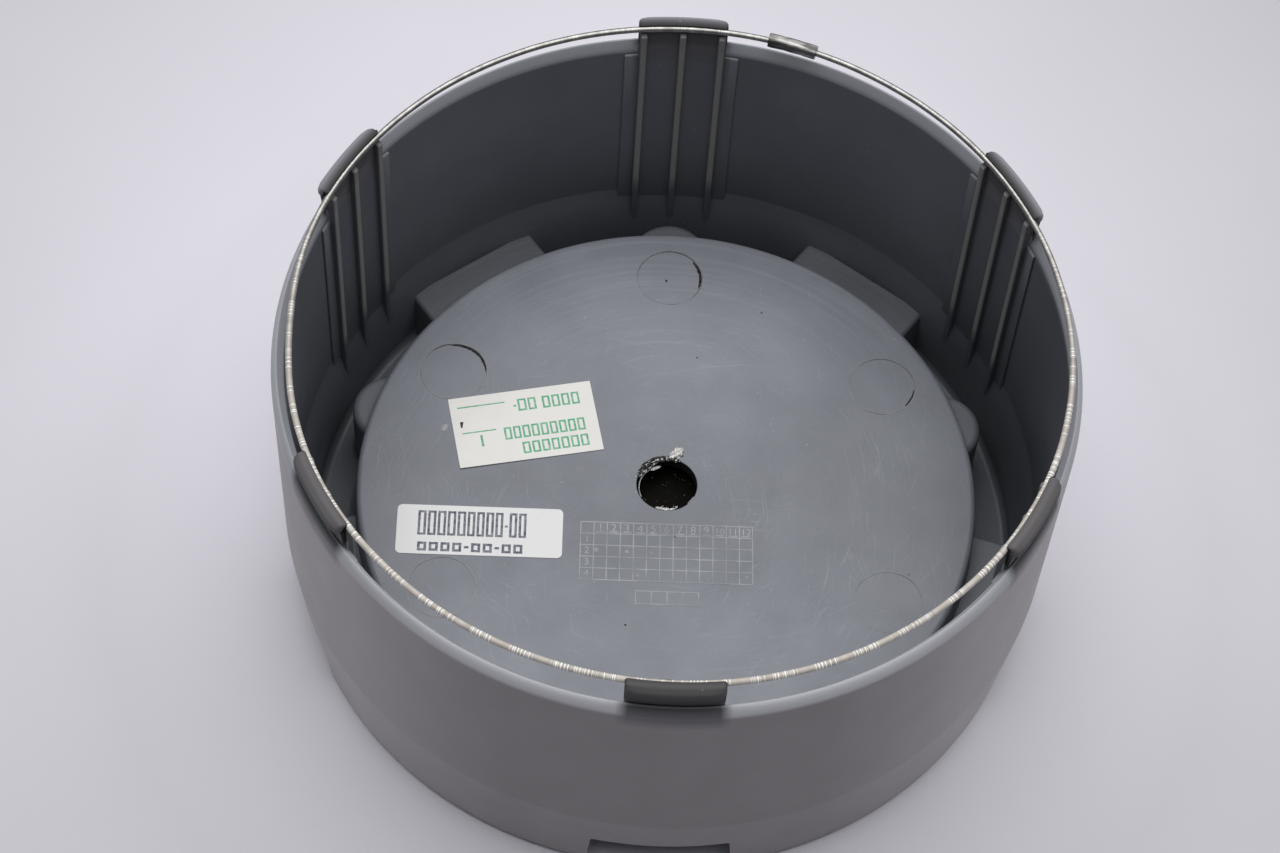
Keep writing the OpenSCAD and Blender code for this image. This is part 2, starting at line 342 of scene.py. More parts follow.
COLUMNS = np.arange(0, 360, 1.0)
body_mesh = solid_mesh("body", [turned(body_section(), COLUMNS)], closed=True)
print("body of revolution", len(body_mesh.polygons), "faces")

# %% [markdown]
# A clip stands on a thick strip of the wall. Its head leans out over the wall to catch behind the
# wheel, and a groove under its inner lip holds the wire. Both are sections carried along a short
# arc, and their end edges are rounded by shrinking the section there.

# %% Strips and clips
def strip_section():
    """Closed section (r, z) of the thick strip under a clip, a little short of the rim."""
    top = WALL_TOP - RIM_ROUND - 0.3
    return rounded([(PANEL_R + 0.5, 16.9, 0), (STRIP_R, 16.9, 0), (STRIP_R, top, 0.38),
                    (PANEL_R + 0.5, top + 0.1, 0)])


def clip_section():
    """Closed section (r, z) of a clip. The groove is an arc about the middle of the wire."""
    groove_r = WIRE_R + 0.02
    turn = sweep(-73, 78, 12)
    groove = vectors(WIRE_RING_R + groove_r * np.cos(turn), WIRE_H + groove_r * np.sin(turn))
    inner_lip = WIRE_RING_R + groove_r * np.cos(turn[-1]) - 0.03
    head = rounded([(inner_lip, CLIP_TOP - 0.32, 0.12), (inner_lip + 0.95, CLIP_TOP + 0.17, 1.2),
                    (LIP_R, CLIP_TOP - 0.75, 0.9), (LIP_R, LIP_FOOT + 0.2, 0.3),
                    (NECK_R, LIP_FOOT, 0.35), (NECK_R, WALL_TOP - 1, 0.6),
                    (NECK_R + 0.8, WALL_TOP - 1.3, 0), (NECK_R + 0.8, 55, 0), (CLIP_FACE_R, 52.8, 0),
                    (STRIP_R - 0.01, 53.5, 0), (STRIP_R - 0.01, 56.4, 0), (CLIP_FACE_R, 57.6, 0)])
    return np.vstack([groove, head])


def clip_rings(corner=1.7):
    """Rings of a clip. Its head juts out past the neck; over the last few millimetres at either end,
    t from 0 to 1, what juts out is scaled by 0.3 + 0.7 sqrt(1 - t^2), which rounds the corners."""
    rings = across(clip_section(), CLIP_HALF, 0.5)
    y = rings[:, :, 1]
    radius = np.hypot(rings[:, :, 0], y)
    t = np.clip((np.abs(y) - CLIP_HALF + corner) / corner, 0, 1)
    jut = np.maximum(radius - NECK_R, 0) * (0.3 + 0.7 * np.sqrt(1 - t ** 2))
    radius = np.minimum(radius, NECK_R) + jut
    return vectors(np.sqrt(radius ** 2 - y ** 2), y, rings[:, :, 2])


strips = repeated(across(strip_section(), STRIP_HALF, 0.25), CLIP_AZ)
clips = repeated(clip_rings(), CLIP_AZ)

# %% [markdown]
# Three ribs stiffen each clip. A rib is carried upwards: its plan is a thin bar with round front
# edges, and near the top the front draws back along an arc.

# %% Ribs
RIB_FACE_R = STRIP_R - 1.0
RIB_TOP = WIRE_H - WIRE_R - 0.4
RIB_TOP_R = 0.5


def rib_plan(face, half):
    """Plan (x, y) of a rib from its root inside the strip to its face."""
    root = CLIP_FACE_R + 0.8
    return rounded([(root, -half, 0), (face, -half, 0.35), (face, half, 0.35), (root, half, 0)], 5)


def rib_rings():
    """Rings (x, y, z) of a rib. Near its top the front is e - sqrt(e^2 - h^2) further back."""
    over = RIB_TOP_R * np.sin(sweep(0, 84, 6))
    back = RIB_TOP_R - np.sqrt(RIB_TOP_R ** 2 - over ** 2)
    heights = np.concatenate([[3.5, 30, 50], RIB_TOP - RIB_TOP_R + over])
    backs = np.concatenate([[0, 0, 0], back])
    rings = []
    for up, set_back in zip(heights, backs):
        plan = rib_plan(RIB_FACE_R + set_back, RIB_W / 2 - 0.3 * set_back)
        rings.append(vectors(*plan.T, up))
    return np.stack(rings)


ribs = repeated(rib_rings(), [az + RIB_STEP * side for az in CLIP_AZ for side in (-1, 0, 1)])

# %% [markdown]
# Five blocks in the trench are the backs of the notches in the front edge, and between them stand
# five round bosses that are cored from the front. The blocks are carried outwards from the disc
# to the wall, and their ends follow round arcs so that they stay buried in both.

# %% Blocks, bosses, notches and cores
BLOCK_H, BLOCK_HALF, BLOCK_DRAFT, BLOCK_T = 11.7, 12.6, 0.9, 1.4
BLOCK_IN_R, BLOCK_OUT_R = 52.5, 62.2
BOSS_AT_R, BOSS_R, BOSS_H, BOSS_T = 50.7, 6.7, 15.2, 2.0


def carried_out(front, inner, outer, steps=3):
    """Rings of a front view (y, z) carried out along x, from inner(y, z) to outer(y, z)."""
    y, z = front.T
    share = np.linspace(0, 1, steps)[:, None]
    x = inner(y, z) * (1 - share) + outer(y, z) * share
    return vectors(x, y, z)


def block_rings():
    """A block's front view is a drafted bar on a foot that is buried in the trench's floor."""
    floor = RING_T - BURIED
    foot = BLOCK_HALF + BLOCK_DRAFT * (BLOCK_H - floor) / BLOCK_H
    wide = foot + 1.5
    front = rounded([(-wide, floor - 1, 0), (-wide, floor, 0), (-foot, floor, 0.6),
                     (-BLOCK_HALF, BLOCK_H, 0.8), (BLOCK_HALF, BLOCK_H, 0.8),
                     (foot, floor, 0.6), (wide, floor, 0), (wide, floor - 1, 0)])
    return carried_out(front, lambda y, z: np.sqrt(BLOCK_IN_R ** 2 - y ** 2),
                       lambda y, z: np.sqrt(BLOCK_OUT_R ** 2 - y ** 2))


def notch_rings():
    """A notch opens out by f (1 - sin u) over its last f (1 - cos u) below the wall's surface."""
    height, half, flare = BLOCK_H - BLOCK_T, BLOCK_HALF - BLOCK_T, 0.35
    foot = half + BLOCK_DRAFT * (height + 1) / BLOCK_H
    front = rounded([(-foot, -1, 0), (-half, height, 0.4), (half, height, 0.4), (foot, -1, 0)])

    def wall_x(y, z):
        share = np.clip((z - FRONT_EDGE_R) / (CREASE_H - FRONT_EDGE_R), 0, 1)
        return np.sqrt((FOOT_R + (WALL_R - FOOT_R) * share) ** 2 - y ** 2)

    rings = [vectors(SKIRT_FOOT_R, *front.T)]
    for u in sweep(90, 0, 6):
        wider = shrunk(front, -flare * (1 - math.sin(u)))
        rings.append(vectors(wall_x(*front.T) - flare * (1 - math.cos(u)), *wider.T))
    rings.append(vectors(WALL_R + 1, *wider.T))
    return np.stack(rings)


def pillar(profile, at_r, steps=64):
    """Rings of a round pillar: each ring is one point (r, z) of the profile turned about an axis at
    the distance at_r from the cap's own."""
    turn = full_turn(steps)
    radius, height = profile[:, :1], profile[:, 1:]
    return vectors(at_r + radius * np.cos(turn), radius * np.sin(turn), height)


def boss_profile():
    """Profile (r, z) of a boss: a buried foot, a fillet, the side and the domed top's edge."""
    floor = RING_T - BURIED
    return rounded([(BOSS_R + 1.5, floor - 1, 0), (BOSS_R + 1.5, floor, 0), (BOSS_R, floor, 0.8),
                    (BOSS_R, BOSS_H, 1.3), (0.3, BOSS_H, 0)])


core_profile = np.array([[BOSS_R - BOSS_T, -1], [BOSS_R - BOSS_T, BOSS_H - BOSS_T]])
blocks = repeated(block_rings(), NOTCH_AZ)
notches = repeated(notch_rings(), NOTCH_AZ)
bosses = repeated(pillar(boss_profile(), BOSS_AT_R), BOSS_AZ)
cores = repeated(pillar(core_profile, BOSS_AT_R), BOSS_AZ)

# %% [markdown]
# Round ejector pins pressed on the disc while it was soft. Each left a shallow round mark, a
# little tilted, so that its edge shows dark on one side and fades on the other. A mark is a
# tilted pillar that is cut away.

# %% Ejector marks and front recess
MARK_AT_R, MARK_R = 43.3, 5.75
MARK_AZ = (30, 90, 150, 210, 270, 330)
MARK_DEPTH = {90: (0.16, 0.010, 35), 150: (0.15, 0.012, 40), 210: (0.04, 0.002, 30),
              270: (0.05, 0.003, 200), 330: (0.05, 0.004, 320), 30: (0.11, 0.006, 330)}


def mark_rings(az):
    """A pillar whose floor is z = top - depth - slope * distance towards the deep side."""
    depth, slope, deep_side = MARK_DEPTH[az]
    rings = spun(pillar(np.array([[MARK_R, DISC_TOP], [MARK_R, DISC_TOP + 1]]), MARK_AT_R), az)
    side = math.radians(deep_side)
    from_middle = rings[0] - rings[0].mean(axis=0)
    towards = from_middle[:, 0] * math.cos(side) + from_middle[:, 1] * math.sin(side)
    rings[0, :, 2] -= depth + slope * towards
    return rings


marks = [mark_rings(az) for az in MARK_AZ]
RECESS_R, RECESS_TOP_R = 51.91, 50.8
recess_section = np.array([[RECESS_R, -1], [RECESS_TOP_R, DISC_TOP - DISC_T]])
recess = np.stack([turned(recess_section[i:i + 1], COLUMNS)[:, 0] for i in (0, 1)])

added = [("UNION", solid_mesh("added", forms)) for forms in (strips, ribs, clips, blocks, bosses)]
cut_away = [("DIFFERENCE", solid_mesh("cut", forms)) for forms in ([recess], notches, cores, marks)]
shell_mesh = combined(body_mesh, added + cut_away)
place("shell_moulding", shell_mesh, "grey", ["cap_shell"])

# %% [markdown]
# The spring ring is one round wire, drawn and then bent. It could stay the plain turned solid, but
# light catches its small bends, so here the wire is a tube whose middle line strays by a few
# hundredths of a millimetre, and it carries a length and a girth as its own coordinates.

# %% Spring ring
SLEEVE_AZ, SLEEVE_L, SLEEVE_SIZE = 72.8, 8.4, 1.98
WIRE_RINGS, WIRE_SIDES = 1080, 20
WIRE_GAP = 0.6
PRESS_AZ, PRESS_WIDE, PRESS_MM = 181, 14, 0.7


def wire_rings():
    """Middle line r = R + a sum of slow sines, z = h + another; section a circle of the wire's radius.
    On the left, between two clips, the ring is pressed in along a smooth bell curve."""
    gap = math.degrees(WIRE_GAP / WIRE_RING_R)
    az = np.linspace(SLEEVE_AZ + gap / 2, SLEEVE_AZ + 360 - gap / 2, WIRE_RINGS)
    a = np.radians(az)
    pressed = PRESS_MM * bell(az, PRESS_AZ, PRESS_WIDE)
    stray = 0.008 * np.sin(17 * a + 1) + 0.006 * np.sin(41 * a + 2) - pressed
    lift = 0.008 * np.sin(23 * a) + 0.005 * np.sin(57 * a + 1)
    girth = full_turn(WIRE_SIDES)
    radius = (WIRE_RING_R + stray)[:, None] + (WIRE_R - 0.002) * np.cos(girth)
    height = (WIRE_H + lift)[:, None] + (WIRE_R - 0.002) * np.sin(girth)
    return turned(vectors(radius, height), az)


def add_length_map(mesh, rings, around, length_mm):
    """UV map with the way along the piece in millimetres as U and the way round it, 0 to 1, as V."""
    u = np.repeat(np.linspace(0, length_mm, rings), around)
    v = np.tile(np.arange(around) / around, rings)
    corner = np.empty(len(mesh.loops), int)
    mesh.loops.foreach_get("vertex_index", corner)
    layer = mesh.uv_layers.new(name="length")
    layer.data.foreach_set("uv", np.column_stack([u, v])[corner].ravel())


ring_mesh = solid_mesh("spring_ring", [wire_rings()])
add_length_map(ring_mesh, WIRE_RINGS, WIRE_SIDES, 2 * math.pi * WIRE_RING_R)
place("spring_ring", ring_mesh, "wire", ["retaining_ring"])

# %% [markdown]
# A strip of sheet is folded round the two ends of the wire and squeezed. Its section is a rounded
# square with a bore, open along the seam underneath, and it is carried along the ring. Squeezing
# leaves the sheet a little pinched in two places and its edges uneven.

# %% Crimped sleeve
def sleeve_section():
    """Closed section (across, up): the outside of a rounded square, and the bore inside, joined at
    the seam."""
    half, seam = SLEEVE_SIZE / 2, 0.06
    outside = rounded([(seam, -half, 0), (half, -half, 0.4), (half, half, 0.3), (-half, half, 0.95),
                       (-half, -half, 0.6), (-seam, -half, 0)], 6)
    turn = sweep(-97, -443, 26)
    bore = (WIRE_R + 0.03) * vectors(np.cos(turn), np.sin(turn))
    return np.vstack([outside, bore])


def sleeve_rings():
    """Each ring is the section squeezed by 1 - p, with p a pair of smooth pinches along the length."""
    share = np.linspace(0, 1, 33)
    pinch = 0.04 * bell(share, 0.3, 0.06) + 0.05 * bell(share, 0.68, 0.07)
    ends = 0.05 * (bell(share, 0, 0.03) + bell(share, 1, 0.03))
    section = sleeve_section()
    reach = np.clip((np.linalg.norm(section, axis=1) - WIRE_R) / (SLEEVE_SIZE / 2 - WIRE_R), 0, 1)
    ripple = 0.012 * np.sin(9 * share[:, None] * np.pi + 3 * section[None, :, 0]) * reach
    squeeze = 1 - (pinch + ends)[:, None] * reach - ripple * 0.5
    radius = WIRE_RING_R + section[None, :, 0] * squeeze
    up = WIRE_H + section[None, :, 1] * squeeze
    half_angle = math.degrees(SLEEVE_L / 2 / WIRE_RING_R)
    return turned(vectors(radius, up), SLEEVE_AZ + (2 * share - 1) * half_angle)


sleeve_points = sleeve_rings()
sleeve_mesh = solid_mesh("crimped_sleeve", [sleeve_points])
add_length_map(sleeve_mesh, *sleeve_points.shape[:2], SLEEVE_L)
place("crimped_sleeve", sleeve_mesh, "sleeve", ["ring_sleeve"], sharp=40)

# %% [markdown]
# The labels are thin sheets stuck to the disc. Each one is a grid of points over its outline, with
# a second layer above the first. One edge of the inspection label has let go a little. The print is
# left out: in its place are plain bars and ruled lines, as low pads on the same sheet.

# %% Labels
LABEL_T = 0.12
INK_T = 0.012


def sheet_rings(length, width, corner, height):
    """Closed thin sheet: at each x a loop of points up one side and back. Near the ends the half width
    shrinks by c (1 - sqrt(1 - t^2)), the round corner. Each height is height(x, y) above the disc."""
    half = length / 2
    near = corner * (1 - np.cos(sweep(0, 90, 7)))
    straight = np.linspace(-half + corner, half - corner, 40)[1:-1]
    x = np.concatenate([-half + near, straight, (half - near)[::-1]])
    t = np.clip((np.abs(x) - (half - corner)) / corner, 0, 1)
    side = width / 2 - corner * (1 - np.sqrt(1 - t ** 2))
    share = np.linspace(-1, 1, 25)
    rings = []
    for at, reach in zip(x, side):
        y = share * reach
        lift = DISC_TOP + height(at, y)
        rings.append(np.vstack([vectors(at, y, lift + LABEL_T), vectors(at, y, lift)[::-1]]))
    return np.stack(rings)


def pad(x0, y0, x1, y1, base, thick=INK_T, steps=5):
    """A printed bar: a thin box between two corners, which follows the sheet's height."""
    x = np.concatenate([np.linspace(x0, x1, steps), np.linspace(x1, x0, steps)])
    y = np.concatenate([np.full(steps, y0), np.full(steps, y1)])
    lift = DISC_TOP + base(x, y) + LABEL_T
    return np.stack([vectors(x, y, lift - 0.03), vectors(x, y, lift + thick)])


def moved(rings, at, degrees):
    """Rings turned about Z, then carried to a place on the disc."""
    return spun(rings, degrees) + np.array([at[0], at[1], 0])


def label_pieces(name, size, corner, lift, bars, at, degrees, finish, replaced):
    """The sheet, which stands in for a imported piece, and its print as a second piece."""
    sheet = solid_mesh(name, [moved(sheet_rings(*size, corner, lift), at, degrees)])
    ink = solid_mesh(name + "_ink", [moved(pad(*bar, lift), at, degrees) for bar in bars])
    place(name, sheet, finish, [replaced])
    place(name + "_print", ink, finish + "_ink")


PART_LABEL, PART_AT = (28.1, 9.6), (-31.6, -10.6)
INSPECTION, INSPECTION_AT, INSPECTION_TURN = (25.0, 14.3), (-24.6, 11.1), 11.4


def flat_lift(x, y):
    """Height over the disc of a sheet that sticks all over: none."""
    return 0 * x


def curled_lift(x, y):
    """The edge with the lower y has let go: it rises with the square of the way past the line that
    still sticks."""
    return 0.025 * np.clip(-4.5 - y, 0, None) ** 2 * (0.5 + 0.5 * np.clip(-x / 12, -0.5, 1))


def frame_bars(x, y, width, height, line):
    """Four thin bars round a small box, in place of a printed letter."""
    right, top = x + width, y + height
    return [(x, y, x + line, top), (right - line, y, right, top),
            (x + line, y, right - line, y + line), (x + line, top - line, right - line, top)]


def word(x, y, widths, gap, height, line):
    """A row of small frames. One that is too narrow for a frame becomes a short dash."""
    bars = []
    for width in widths:
        if width < 3 * line:
            bars.append((x, y + 0.4 * height, x + width, y + 0.4 * height + line))
        else:
            bars += frame_bars(x, y, width, height, line)
        x += width + gap
    return bars


part_bars = (word(-10.5, -1.1, [1.4] * 5 + [1.3] * 4 + [0.5, 1.3, 1.3], 0.28, 4.8, 0.42)
             + word(-10.4, -4.2, [1.55] * 4 + [0.8] + [1.55] * 2 + [0.8] + [1.55] * 2, 0.42, 1.75, 0.46))
inspection_bars = (word(-1.5, 2.9, [0.5, 1.5, 1.4], 0.3, 2.45, 0.34)
                   + word(3.6, 2.85, [1.35] * 4, 0.36, 2.45, 0.34)
                   + word(-3.9, -2.6, [1.28] * 9, 0.32, 2.5, 0.34)
                   + word(-1.2, -5.85, [1.35] * 7, 0.34, 2.35, 0.34)
                   + [(-11.2, 4.95, -2.9, 5.2), (-11.1, -0.35, -5.2, -0.12), (-8.1, -3.3, -7.7, -1.0)])
label_pieces("part_label_sheet", PART_LABEL, 0.9, flat_lift, part_bars, PART_AT, 0,
             "vinyl", "part_label")
label_pieces("inspection_label_sheet", INSPECTION, 0.12, curled_lift, inspection_bars,
             INSPECTION_AT, INSPECTION_TURN, "paper", "inspection_label")
SMUDGE_X, SMUDGE_Y = -11.15, 1.0
smudge_pads = [pad(SMUDGE_X, SMUDGE_Y + row, SMUDGE_X + 0.3 + 0.3 * row, SMUDGE_Y + 0.18 + row, flat_lift)
               for row in [0.2 * i for i in range(6)]]
smudge = [moved(rings, INSPECTION_AT, INSPECTION_TURN) for rings in smudge_pads]
place("inspection_smudge", solid_mesh("smudge", smudge), "dirt")

# %% [markdown]
# A date grid is moulded into the disc as raised hairlines: thirteen columns and five rows, plain
# numbers in the head row and the first column, and an empty box of four cells below. Each line
# is a low ridge whose foot is buried in the disc. A few cells hold a small punched pip.

# %% Moulded date grid
GRID_X, GRID_Y, CELL = -14.5, -8.0, 2.245
GRID_COLUMNS, GRID_ROWS = 13, 5
BOX_X, BOX_Y, BOX_W, BOX_H = -5.0, -21.15, 2.65, 2.45
LINE_W, LINE_H = 0.25, 0.05


def ridge(x0, y0, x1, y1, rise=LINE_H):
    """Low ridge from one point to the other: a wide ring under the surface and a narrow one above."""
    way = np.array([x1 - x0, y1 - y0]) / math.hypot(x1 - x0, y1 - y0)
    aside = np.array([-way[1], way[0]])
    rings = []
    for wide, height in ((LINE_W, -0.05), (LINE_W, 0.0), (0.62 * LINE_W, rise)):
        ends = np.array([[x0, y0], [x1, y1]]) + np.outer([-1, 1], way) * wide / 2
        half = aside * wide / 2
        corners = [ends[0] - half, ends[1] - half, ends[1] + half, ends[0] + half]
        rings.append(vectors(*np.transpose(corners), DISC_TOP + height))
    return np.stack(rings)


def grid_lines(x, y, wide, high, columns, rows):
    """Ridges of a grid whose upper left corner is at x, y."""
    right, foot = x + columns * wide, y - rows * high
    upright = [ridge(x + i * wide, foot, x + i * wide, y) for i in range(columns + 1)]
    level = [ridge(x, y - i * high, right, y - i * high, 0.9 * LINE_H) for i in range(rows + 1)]
    return upright + level


def number_mesh(text, x, y, size):
    """A plain number as a thin raised mesh, centred on a cell."""
    curve = bpy.data.curves.new("number", "FONT")
    curve.body = text
    curve.size = size * MM
    curve.extrude = 0.035 * MM
    curve.resolution_u = 3
    curve.align_x = "CENTER"
    curve.align_y = "CENTER"
    text_object = new_object("number", curve)
    graph = bpy.context.evaluated_depsgraph_get()
    mesh = bpy.data.meshes.new_from_object(text_object.evaluated_get(graph))
    bpy.data.objects.remove(text_object)
    points = np.empty(len(mesh.vertices) * 3)
    mesh.vertices.foreach_get("co", points)
    points = points.reshape(-1, 3) + np.array([x, y, DISC_TOP + 0.005]) * MM
    mesh.vertices.foreach_set("co", points.ravel())
    return mesh


def joined(meshes):
    """One mesh of several, with points that coincide made one."""
    work = bmesh.new()
    for mesh in meshes:
        work.from_mesh(mesh)
    result = bpy.data.meshes.new("joined")
    bmesh.ops.remove_doubles(work, verts=work.verts, dist=1e-7)
    work.to_mesh(result)
    work.free()
    return result


grid = grid_lines(GRID_X, GRID_Y, CELL, CELL, GRID_COLUMNS, GRID_ROWS)
grid += grid_lines(BOX_X, BOX_Y, BOX_W, BOX_H, 4, 1)
DASH_Y = GRID_Y - 0.84 * CELL
grid += [ridge(GRID_X + (i + 0.2) * CELL, DASH_Y, GRID_X + (i + 0.8) * CELL, DASH_Y, 0.03)
         for i in range(1, GRID_COLUMNS)]
numbers = [number_mesh(str(i), GRID_X + (i + 0.5) * CELL, GRID_Y - CELL / 2, 2.1 if i < 10 else 1.8)
           for i in range(1, GRID_COLUMNS)]
numbers += [number_mesh(str(i), GRID_X + CELL / 2, GRID_Y - (i + 0.5) * CELL, 1.9)
            for i in range(1, GRID_ROWS)]
PIPS = [(-11.8, -13.4, 0.45), (-6.6, -13.6, 0.36), (-2.5, -13.7, 0.34),
        (-4.7, -18.2, 0.34), (13.7, -17.8, 0.32)]
pip_profile = np.array([[1.0, -0.05], [1.0, 0.0], [0.75, 0.7], [0.4, 1.0], [0.05, 1.05]])
pips = [pillar(pip_profile * [size, 0.09] + [0, DISC_TOP], 0, 20) + [x, y, 0] for x, y, size in PIPS]
place("moulded_grid", joined([solid_mesh("grid", grid + pips), *numbers]), "raised")

# %% [markdown]
# The hole was broken out by hand, which left torn plastic round it: a bright curl inside on the
# left, ragged fibres above it, a white chip and a flaky burr. Each is a thin strip with a ragged
# edge, or a small lump, from a seeded generator. The same strips draw the fine flash round each
# ejector mark and the dirt that has gathered in the deep side of three of them.

# %% Torn plastic, flash and dirt
random = np.random.default_rng(7)


def ragged(start, end, inner, outer, top, thick, jag, steps=40, centre=(0, 0)):
    """Strip from one azimuth to the other. Its width swells in the middle as sin(pi s), and its inner
    edge has random teeth of the size jag."""
    share = np.linspace(0, 1, steps)
    swell = np.sin(np.pi * share) ** 0.5
    teeth = jag * random.random(steps) * swell
    r_out = outer - (outer - inner) * (1 - swell) / 2 + jag * 0.4 * random.random(steps) * swell
    r_in = inner + (outer - inner) * (1 - swell) / 2 - teeth - 0.01
    high = top + 0.3 * thick * random.random(steps)
    return ribbon(start + (end - start) * share, r_in, r_out, high, top - thick, centre)


def lump(centre, length, width, height, turn, rough):
    """Lumpy half ellipsoid: rings shrink as cos(u) and rise as sin(u), with random radial teeth."""
    u = sweep(-20, 85, 8)[:, None]
    a = full_turn(24)
    bumpy = 1 + rough * (random.random((8, 24)) - 0.5)
    x = length / 2 * np.cos(u) * np.cos(a) * bumpy
    y = width / 2 * np.cos(u) * np.sin(a) * bumpy
    return spun(vectors(x, y, height * np.sin(u) * bumpy), turn) + [*centre, DISC_TOP]


def fibres(count, start, end, inner, outer, low, high):
    """Short slivers lying about the edge of the hole, each a thin strip a few degrees long."""
    strips = []
    for _ in range(count):
        azimuth = random.uniform(start, end)
        radius = random.uniform(inner, outer)
        reach = random.uniform(2, 9)
        tilt = random.uniform(-0.5, 0.5)
        share = np.linspace(0, 1, 5)
        wide = 0.09 * np.sin(np.pi * (0.15 + 0.7 * share)) * random.uniform(0.6, 1.6)
        middle = radius + tilt * share
        top = random.uniform(low, high) + 0.1 * random.random(5)
        strips.append(ribbon(azimuth + reach * share, middle - wide, middle + wide, top, top - 0.06))
    return strips


def detail(name, shapes, finish):
    """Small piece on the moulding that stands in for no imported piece."""
    place(name, solid_mesh(name, shapes), finish)


white_bits = [lump((1.65, 6.2), 2.4, 1.8, 0.5, 36, 0.6), lump((0.85, 5.65), 1.1, 0.75, 0.25, 14, 0.6),
              lump((2.35, 6.95), 1.0, 0.8, 0.3, 60, 0.6),
              ragged(-112, -72, 4.98, 5.14, 18.02, 0.2, 0.3),
              ragged(104, 130, 4.15, 4.5, 17.0, 0.12, 0.25)]
curl_turn = np.linspace(205, 118, 40)
curl_wide = 0.05 + 0.16 * np.linspace(0, 1, 40) ** 2
torn = [ribbon(curl_turn, 4.78 - 2 * curl_wide, 4.8, 16.95, 16.8),
        ragged(64, 116, 5.0, 5.35, 18.03, 0.15, 0.25), ragged(-46, -26, 5.1, 5.24, 18.0, 0.2, 0.06)]
torn += fibres(44, 106, 160, 4.5, 5.6, 17.6, 18.12)
torn += fibres(3, 60, 100, 5.0, 5.3, 17.9, 18.06)
torn += fibres(10, -115, -65, 4.8, 5.1, 17.8, 18.08)
detail("torn_white", white_bits, "torn_white")
detail("torn_grey", torn, "torn")

flash = []
dirt = [ragged(62, 164, 4.85, 5.65, 18.02, 0.2, 0.5), *fibres(26, 100, 158, 4.6, 5.45, 17.7, 18.1)]
DIRT_ARCS = {90: [(-22, 42, 0.42), (198, 225, 0.2)], 150: [(2, 98, 0.36)], 30: [(-45, -5, 0.25)]}
for az in MARK_AZ:
    middle = (MARK_AT_R * math.cos(math.radians(az)), MARK_AT_R * math.sin(math.radians(az)))
    turn = np.linspace(0, 360, 91)
    high = DISC_TOP + (0.025 + 0.02 * np.sin(np.radians(turn) * 2 + az) + 0.01 * random.random(91))
    flash.append(ribbon(turn, MARK_R - 0.02, MARK_R + 0.15, high, DISC_TOP - BURIED, middle))
    depth, slope, _ = MARK_DEPTH[az]
    floor = DISC_TOP - depth - slope * MARK_R + 0.06
    for start, end, wide in DIRT_ARCS.get(az, []):
        dirt.append(ragged(start, end, MARK_R - wide, MARK_R - 0.03, floor, 0.1, 0.15, 30, middle))
spot_profile = np.array([[1.0, -0.02], [0.9, 0.03], [0.1, 0.05]])
SPOTS = [(1.5, -10.3, 0.22), (-0.6, 42.6, 0.2), (16.4, 36.4, 0.18), (5.0, 26.3, 0.16),
         (-6.6, -27.7, 0.2)]
dirt += [pillar(spot_profile * [size, 1] + [0, DISC_TOP], 0, 10) + [x, y, 0] for x, y, size in SPOTS]
detail("mark_flash", flash, "outline")
detail("dirt", dirt, "dirt")
detail("glue_drop", [lump((-38.6, 10.0), 1.6, 1.2, 0.15, 60, 0.25)], "raised")

# %% [markdown]
# Finishes. Each one is a small tree of nodes on Object coordinates, so that its marks have the
# right size in millimetres and stay with the piece. A short helper makes a node, sets its inputs
# and links them, which keeps each finish readable.

